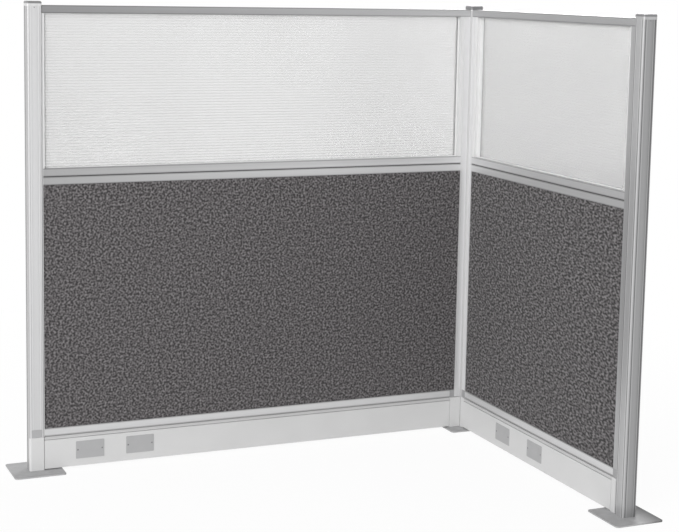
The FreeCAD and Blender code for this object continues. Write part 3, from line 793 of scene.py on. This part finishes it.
def stations(length, roll, step):
    """Places along one side of a cloth: close together where its edge rolls back."""
    turns = [roll * (1.0 - math.cos(math.radians(angle))) for angle in (0.0, *BEND_ANGLES)]
    count = max(2, round((length - 2.0 * roll) / step))
    middle = [roll + (length - 2.0 * roll) * k / count for k in range(count + 1)]
    return turns + middle + [length - turn for turn in reversed(turns)]


def rolled_back(place, length, roll):
    """How far the cloth's edge has rolled back at a place along one side."""
    near = min(place, length - place)
    if near >= roll:
        return 0.0
    return roll - math.sqrt(max(0.0, roll * roll - (roll - near) ** 2))


def stretched_cloth(name, low, high, outward, cloth, finish):
    """One cloth face, stretched over the board, with its edges rolled back."""
    flat = abs(UP.cross(outward).dot(high - low))
    tall = high.z - low.z
    roll = cloth.roll
    origin = face_middle(low, high, outward)
    across, upward = stations(flat, roll, cloth.mesh), stations(tall, roll, cloth.mesh)
    points = []
    for y in upward:
        for x in across:
            back = min(roll, rolled_back(x, flat, roll) + rolled_back(y, tall, roll))
            loose = min(1.0, min(x, flat - x, y, tall - y) / cloth.taut)
            on_cloth = Vector((x * cloth.sway, y * cloth.sway, cloth.drift))
            wander = noise.noise(origin * cloth.apart + on_cloth)
            sink = back + cloth.slack * loose * (0.5 - 0.5 * wander)
            points.append(Vector((x - flat / 2.0, y - tall / 2.0, -sink)))
    wide = len(across)
    faces = [
        (row * wide + k, row * wide + k + 1, (row + 1) * wide + k + 1, (row + 1) * wide + k)
        for row in range(len(upward) - 1)
        for k in range(wide - 1)
    ]
    mesh = plain_mesh(name, points, faces, finish)
    mesh.transform(facing(outward, origin))
    mesh.polygons.foreach_set("use_smooth", [True] * len(mesh.polygons))
    piece = linked(name, mesh)
    solid = piece.modifiers.new("thickness", "SOLIDIFY")
    solid.thickness = cloth.thickness
    return piece, (flat, tall)


def closed_mesh(name, points, faces, finish):
    """A piece of points and faces, with its normals turned outward."""
    mesh = plain_mesh(name, points, faces, finish)
    shell = bmesh.new()
    shell.from_mesh(mesh)
    bmesh.ops.remove_doubles(shell, verts=shell.verts, dist=WELD)
    bmesh.ops.recalc_face_normals(shell, faces=shell.faces)
    shell.to_mesh(mesh)
    shell.free()
    return linked(name, mesh)


def ring_of_strip(opening, widths, front, deep):
    """Points and faces of one soft strip that goes round an opening with mitred corners."""
    points, faces = [], []
    for inset, proud in STRIP_SECTION:
        left, right, bottom, top = (
            edge + inset * width for edge, width in zip(opening, widths)
        )
        for corner in ((left, bottom), (right, bottom), (right, top), (left, top)):
            points.append(Vector((*corner, front + proud * deep)))
    sides = len(opening)
    for loop in range(len(STRIP_SECTION)):
        this, after = loop * sides, (loop + 1) % len(STRIP_SECTION) * sides
        for k in range(sides):
            following = (k + 1) % sides
            faces.append((this + k, this + following, after + following, after + k))
    return points, faces


def glazing_strips(wall, window, finish):
    """The strips on both faces of one wall's window."""
    low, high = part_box(wall + "_window")
    middle = (low + high) / 2.0
    half_sheet = abs(FACES[(wall, "inner")].dot(high - low)) / 2.0
    tall = (high.z - low.z) / 2.0 - window.bite
    rest, thin = window.strip_width, window.thin_strip
    by_end = thin if wall == "long" else rest
    points, faces = [], []
    for side in ("inner", "outer"):
        by_corner = window.wide_strip if (wall, side) == ("short", "inner") else rest
        outward = FACES[(wall, side)]
        along = UP.cross(outward)
        half = abs(along.dot(high - low)) / 2.0 - window.bite
        left, right = (window.far_bead, by_end), (window.corner_bead, by_corner)
        if along.dot(middle) > 0.0:
            left, right = right, left
        opening = (left[0] - half, half - right[0], -tall, tall)
        widths = (left[1], -right[1], rest, -thin)
        ring, around = ring_of_strip(opening, widths, half_sheet, window.strip_depth)
        faces += [tuple(corner + len(points) for corner in face) for face in around]
        points += [facing(outward, middle) @ point for point in ring]
    return closed_mesh(wall + "_glazing_strips", points, faces, finish)


def folded_shell(name, line, sleeve, thickness, bottom, top, finish):
    """A thin shell that follows a line in plan, as tall as its bottom and top say."""
    outline = []
    for k, point in enumerate(line):
        before = line[max(0, k - 1)]
        after = line[min(len(line) - 1, k + 1)]
        heading = (after - before).normalized()
        outline.append(point + Vector((heading.y, -heading.x)) * thickness)
    ring = list(line) + list(reversed(outline))
    count = len(ring)
    points = [Vector((*point, height)) for height in (bottom, top) for point in ring]
    faces = [(k, (k + 1) % count, count + (k + 1) % count, count + k) for k in range(count)]
    for level in (0, count):
        faces += [
            (level + k, level + k + 1, level + count - 2 - k, level + count - 1 - k)
            for k in range(count // 2 - 1)
        ]
    piece = closed_mesh(name, points, faces, finish)
    edge = piece.modifiers.new("soft edges", "BEVEL")
    edge.width = thickness * sleeve.soft_edge
    edge.segments = 2
    edge.angle_limit = sleeve.sharp
    return piece


def round_the_corner(post, side, sleeve, bend):
    """A line in plan along one wall face of a post and round its outer corner."""
    face = post[1].y if side > 0 else post[0].y
    edge, reach = post[0].x, post[1].x - sleeve.thickness
    line = [Vector((reach, face)), Vector((edge + bend, face))]
    for angle in (*BEND_ANGLES, 90.0):
        turn = math.radians(angle)
        line.append(Vector((
            edge + bend - bend * math.sin(turn), face - side * bend * (1.0 - math.cos(turn))
        )))
    line.append(Vector((edge, face - side * sleeve.wrap)))
    return line if side > 0 else list(reversed(line))


class CUBICLE_OT_posts(bpy.types.Operator):
    """Finish the posts, their slot strips, caps, feet and fastenings"""

    bl_idname = "cubicle.posts"
    bl_label = "Posts and Feet"

    def execute(self, context):
        metal = context.scene.cubicle_metal
        strips = anodised("slot strips", shade(metal.long_end_post, metal.strip_tone))
        tree = strips.node_tree
        # The short wall's strips take the short end post's darker tone: painted shade.
        by_short_end = mapped(tree, object_axis(tree, Y), *STRIPS_CHANGE)
        tone = shade(metal.short_end_post, metal.strip_tone)
        recolour(strips, by_short_end, other=(*tone, 1.0))
        for post, rough, deep in (
            ("corner_post", 0.55, metal.corner_cap_band),
            ("long_end_post", 0.30, metal.cap_band),
            ("short_end_post", 0.30, metal.cap_band),
        ):
            tone, words = getattr(metal, post), post.replace("_", " ")
            side = anodised(words, tone, rough=rough)
            if post == "corner_post":
                # Painted shade on the corner post's rounded edge.
                corner_painted_shade(side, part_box(post)[0], metal)
            else:
                end_post(post.split("_")[0], metal, side, strips)
            dress((post,), side)
            dress((post + "_cap",), cap_finish(words + " cap", tone, metal, deep))
        dress(("post_slot_fillers",), strips)
        feet = ("corner_foot_plate", "long_end_foot_plate")
        dress(feet, rolled_steel("foot plate steel", metal.foot, rough=0.52))
        short_foot = rolled_steel("short foot plate steel", metal.foot, rough=0.6)
        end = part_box("short_end_foot_plate")[1].x
        # Painted shade toward the plate's outer edge.
        graded(short_foot, X, 0.0, end, metal.short_foot_painted_shade)
        dress(("short_end_foot_plate",), short_foot)
        tone = shade(metal.foot, share=0.9)
        dress(("foot_spigots",), rolled_steel("spigot steel", tone, rough=0.4))
        screws = ("foot_bolts", "cap_set_screws", "raceway_screws")
        dress(screws, rolled_steel("screw steel", metal.screw, rough=0.3))
        return {"FINISHED"}


class CUBICLE_OT_wall_frames(bpy.types.Operator):
    """Finish the rails, sills, uprights and window beads of both walls"""

    bl_idname = "cubicle.wall_frames"
    bl_label = "Wall Frames"

    def execute(self, context):
        metal = context.scene.cubicle_metal
        for wall, axis in WALLS.items():
            along = Vector([float(k == axis) for k in (X, Y, Z)])
            for part, tone in (
                ("top_rail", metal.top_rail), ("window_sill", metal.mid_rail),
                ("mid_rail", metal.mid_rail), ("bottom_rail", metal.bottom_rail),
            ):
                node = f"{wall}_{part}"
                rail = anodised(node.replace("_", " "), tone, along)
                # Painted light toward the corner, and on the long wall painted shade toward the end
                # post.
                if part != "bottom_rail":
                    end, corner = (side[axis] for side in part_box(node))
                    middle = (end + corner) / 2.0
                    graded(rail, axis, middle, corner, metal.rail_corner_painted_light[axis])
                    if wall == "long":
                        graded(rail, axis, middle, end, metal.rail_end)
                painted_shade_on_rail_edges(rail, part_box(node), metal.edge_line, metal.edge_shade)
                dress((node,), rail)
            # Upright tones differ as painted light and shade.
            for part, words, tone in (
                ("corner_stile", "corner upright", metal.corner_upright),
                ("far_stile", "far upright", getattr(metal, wall + "_far_upright")),
                ("window_beads", "beads", metal.bead),
            ):
                dress((f"{wall}_{part}",), anodised(f"{wall} {words}", tone))
        return {"FINISHED"}


class CUBICLE_OT_windows(bpy.types.Operator):
    """Make the fluted window sheets"""

    bl_idname = "cubicle.windows"
    bl_label = "Windows"

    def execute(self, context):
        window = context.scene.cubicle_window
        tree = fluted_sheet_tree()
        for wall in WALLS:
            low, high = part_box(wall + "_window")
            outward = FACES[(wall, "inner")]
            along = UP.cross(outward)
            size = high - low
            length = abs(along.dot(size))
            values = {
                "Depth": abs(outward.dot(size)), "Height": size.z, "Length": length,
                "Pitch": window.pitch, "Skin": window.skin, "Rib": window.rib,
                "Material": fluted_sheet(wall + " fluted polycarbonate", wall, window),
            }
            start = (low + high) / 2.0 - along * (length / 2.0)
            piece = grown_mesh(wall + "_fluted_window", tree, values, facing(along, start))
            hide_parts(wall + "_window")
            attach(piece, "partition_frame")
        return {"FINISHED"}


class CUBICLE_OT_glazing_strips(bpy.types.Operator):
    """Lay the soft glazing strips round the windows"""

    bl_idname = "cubicle.glazing_strips"
    bl_label = "Glazing Strips"

    def execute(self, context):
        window = context.scene.cubicle_window
        finish = moulded("glazing strip", window.strip)
        for wall in WALLS:
            piece = glazing_strips(wall, window, finish)
            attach(piece, "partition_frame")
        return {"FINISHED"}


class CUBICLE_OT_cloth_faces(bpy.types.Operator):
    """Stretch the speckled cloth over both sides of each wall"""

    bl_idname = "cubicle.cloth_faces"
    bl_label = "Cloth Faces"

    def execute(self, context):
        cloth = context.scene.cubicle_cloth
        common = speckled_tweed("speckled tweed", cloth, 1.0, cloth.contrast, 1.0)
        # The short wall's cloth carries painted shade.
        short_inner = speckled_tweed(
            "speckled tweed short wall", cloth, cloth.draw, cloth.short_contrast, cloth.short_cloth_painted_shade
        )
        for (wall, side), outward in FACES.items():
            node = f"{wall}_{side}_fabric"
            finish = short_inner if node == "short_inner_fabric" else common
            piece, flat = stretched_cloth(node + "_cloth", *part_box(node), outward, cloth, finish)
            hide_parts(node)
            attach(piece, "partition_frame")
        return {"FINISHED"}


class CUBICLE_OT_wall_fillings(bpy.types.Operator):
    """Finish the boards behind the cloth and the rubber gaskets"""

    bl_idname = "cubicle.wall_fillings"
    bl_label = "Boards and Gaskets"

    def execute(self, context):
        cloth = context.scene.cubicle_cloth
        board = fibre_board("fibre board", cloth.board)
        dress([wall + "_acoustic_core" for wall in WALLS], board)
        dress([wall + "_rail_gasket" for wall in WALLS], rubber("gasket rubber", cloth.gasket))
        return {"FINISHED"}


class CUBICLE_OT_raceway(bpy.types.Operator):
    """Finish the raceway: covers, end covers, hanger, divider, tray and rail-end blocks"""

    bl_idname = "cubicle.raceway"
    bl_label = "Raceway"

    def execute(self, context):
        raceway = context.scene.cubicle_raceway
        covers = [f"{wall}_{side}_raceway_cover" for wall, side in FACES]
        dress(covers, powder_coat("raceway covers", raceway.cover, rough=0.45))
        ends = ("long_raceway_corner_end", "short_raceway_corner_end", "short_raceway_far_end")
        dress(ends, powder_coat("raceway ends", raceway.end_cover, rough=0.42))
        inside = [
            f"{wall}_raceway_{part}" for wall in WALLS for part in ("hanger", "divider", "tray")
        ]
        dress(inside, powder_coat("raceway inside", raceway.inside, rough=0.5))
        dress(("rail_end_blocks",), moulded("rail end blocks", raceway.block))
        return {"FINISHED"}


class CUBICLE_OT_end_sleeves(bpy.types.Operator):
    """Wrap the foot of the long wall's end post, and cover the rail's joint above"""

    bl_idname = "cubicle.end_sleeves"
    bl_label = "End Sleeves"

    def execute(self, context):
        sleeve, raceway = context.scene.cubicle_sleeve, context.scene.cubicle_raceway
        bend = context.scene.cubicle_metal.post_corner
        coat = powder_coat("end sleeves", raceway.sleeve, rough=0.4)
        pad_finish = moulded("joint pads", shade(raceway.block, raceway.pad_tone))
        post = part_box("long_end_post")
        for name, side in (("inner", -1.0), ("outer", 1.0)):
            line = round_the_corner(post, side, sleeve, bend)
            piece = folded_shell(
                f"long_{name}_end_sleeve", line, sleeve, sleeve.thickness, sleeve.bottom,
                sleeve.top, coat,
            )
            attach(piece, "partition_frame")
            face = post[1].y if side > 0 else post[0].y
            ends = (post[0].x + bend, post[1].x - sleeve.pad_end)
            line = [Vector((x, face)) for x in (reversed(ends) if side > 0 else ends)]
            pad = folded_shell(
                f"long_{name}_joint_pad", line, sleeve, sleeve.thickness * sleeve.pad_share,
                sleeve.pad_bottom, sleeve.pad_top, pad_finish,
            )
            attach(pad, "partition_frame")
        return {"FINISHED"}


class CUBICLE_OT_outlet_plates(bpy.types.Operator):
    """Finish the blank outlet plates and add their screws"""

    bl_idname = "cubicle.outlet_plates"
    bl_label = "Outlet Plates"

    def execute(self, context):
        screw = context.scene.cubicle_screw
        plate_finish = moulded("outlet plates", context.scene.cubicle_raceway.plate)
        steel = rolled_steel("plate screws", context.scene.cubicle_metal.screw, rough=0.3)
        tree = plate_screw_tree(screw)
        for (wall, side), outward in FACES.items():
            for number_in_row in (1, 2):
                node = f"{wall}_{side}_blank_plate_{number_in_row}"
                dress((node,), plate_finish)
                values = {
                    "Spacing": screw.spacing, "Diameter": screw.diameter,
                    "Rise": screw.height, "Slot": screw.slot, "Sides": screw.sides,
                    "Seed": screw.seed + number_in_row, "Material": steel,
                }
                place = facing(outward, face_middle(*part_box(node), outward))
                piece = grown_mesh(node + "_screws", tree, values, place)
                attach(piece, node)
        return {"FINISHED"}


def softbox(name, place, target, size, power):
    """A square lamp that looks at a target."""
    lamp = bpy.data.lights.new(name, "AREA")
    lamp.size = size
    lamp.energy = power
    holder = linked(name, lamp)
    holder.location = place
    holder.rotation_euler = (Vector(target) - Vector(place)).to_track_quat("-Z", "Y").to_euler()
    holder.visible_camera = False


def seen_directly(tree):
    """1 for rays from the camera, off gloss and through glass, and 0 for the rest."""
    path = add_node(tree, "ShaderNodeLightPath").outputs
    seen = calculate(tree, "MAXIMUM", path["Is Camera Ray"], path["Is Glossy Ray"])
    return calculate(tree, "MAXIMUM", seen, path["Is Transmission Ray"])


def floor_finish(stage):
    """White floor that keeps the soft shadow under the object and fades into the backdrop."""
    finish = bpy.data.materials.new("white floor")
    tree = cleared(finish)
    matt = first(tree, "ShaderNodeBsdfDiffuse", {"Color": (*stage.floor_tone, 1.0)})
    white = first(tree, "ShaderNodeEmission", {"Color": WHITE})
    place = add_node(tree, "ShaderNodeTexCoord").outputs["Object"]
    away = add_node(tree, "ShaderNodeVectorMath", {0: place}, operation="LENGTH").outputs["Value"]
    faded = mapped(tree, away, stage.fade_start, stage.fade_end, stage.near_white, 1.0)
    share = calculate(tree, "MULTIPLY", faded, seen_directly(tree))
    mixed = first(tree, "ShaderNodeMixShader", {0: share, 1: matt, 2: white})
    add_node(tree, "ShaderNodeOutputMaterial", {"Surface": mixed})
    return finish


def white_world(ambient):
    """A white backdrop for the eye, and plain light from all round for the rest."""
    world = bpy.data.worlds.new("white studio")
    tree = cleared(world)
    light, white = (
        first(tree, "ShaderNodeBackground", {"Color": WHITE, "Strength": strength})
        for strength in (ambient, 1.0)
    )
    mixed = first(tree, "ShaderNodeMixShader", {0: seen_directly(tree), 1: light, 2: white})
    add_node(tree, "ShaderNodeOutputWorld", {"Surface": mixed})
    return world


class CUBICLE_OT_stage(bpy.types.Operator):
    """Set up the floor, the backdrop, the lamps and the camera"""

    bl_idname = "cubicle.stage"
    bl_label = "Stage"

    def execute(self, context):
        stage = context.scene.cubicle_stage
        half = stage.floor / 2.0
        corners = [(-half, -half, 0.0), (half, -half, 0.0), (half, half, 0.0), (-half, half, 0.0)]
        square = plain_mesh("floor", corners, [(0, 1, 2, 3)], floor_finish(stage))
        floor = linked("floor", square)
        floor.location = stage.floor_middle
        context.scene.world = white_world(stage.ambient)
        softbox("key lamp", stage.key_place, stage.target, stage.key_size, stage.key)
        softbox("back lamp", stage.back_place, stage.target, stage.back_size, stage.back)
        camera = linked("camera", bpy.data.cameras.new("camera"))
        camera.matrix_world = (
            Matrix.Translation(stage.camera) @ Matrix.Rotation(-stage.turn, 4, "Z")
            @ Matrix.Rotation(math.pi / 2.0 - stage.dip, 4, "X")
            @ Matrix.Rotation(stage.tilt, 4, "Z")
        )
        camera.data.lens = stage.lens
        camera.data.shift_y = stage.rise
        context.scene.camera = camera
        context.scene.view_settings.view_transform = "Standard"
        return {"FINISHED"}


class CUBICLE_PT_corner(bpy.types.Panel):
    """Lists what makes the cubicle corner"""

    bl_label = "Cubicle Corner"
    bl_idname = "CUBICLE_PT_corner"
    bl_space_type = "VIEW_3D"
    bl_region_type = "UI"
    bl_category = "Cubicle"

    def draw(self, context):
        for operator in OPERATORS:
            self.layout.operator(operator.bl_idname)


OPERATORS = (
    CUBICLE_OT_posts,
    CUBICLE_OT_wall_frames,
    CUBICLE_OT_windows,
    CUBICLE_OT_glazing_strips,
    CUBICLE_OT_cloth_faces,
    CUBICLE_OT_wall_fillings,
    CUBICLE_OT_raceway,
    CUBICLE_OT_end_sleeves,
    CUBICLE_OT_outlet_plates,
    CUBICLE_OT_stage,
)
SETTINGS = {
    "cubicle_metal": CubicleMetalSettings,
    "cubicle_raceway": CubicleRacewaySettings,
    "cubicle_cloth": CubicleClothSettings,
    "cubicle_window": CubicleWindowSettings,
    "cubicle_screw": CubicleScrewSettings,
    "cubicle_sleeve": CubicleSleeveSettings,
    "cubicle_stage": CubicleStageSettings,
}


def register():
    """Register the settings, the operators and the panel."""
    for name, group in SETTINGS.items():
        bpy.utils.register_class(group)
        setattr(bpy.types.Scene, name, PointerProperty(type=group))
    for part in (*OPERATORS, CUBICLE_PT_corner):
        bpy.utils.register_class(part)


def unregister():
    """Take away what register added."""
    for part in reversed((*OPERATORS, CUBICLE_PT_corner)):
        bpy.utils.unregister_class(part)
    for name, group in reversed(SETTINGS.items()):
        delattr(bpy.types.Scene, name)
        bpy.utils.unregister_class(group)


def main():
    """Make everything in order."""
    register()
    bpy.ops.cubicle.posts()
    bpy.ops.cubicle.wall_frames()
    bpy.ops.cubicle.windows()
    bpy.ops.cubicle.glazing_strips()
    bpy.ops.cubicle.cloth_faces()
    bpy.ops.cubicle.wall_fillings()
    bpy.ops.cubicle.raceway()
    bpy.ops.cubicle.end_sleeves()
    bpy.ops.cubicle.outlet_plates()
    bpy.ops.cubicle.stage()


if __name__ == "__main__":
    main()
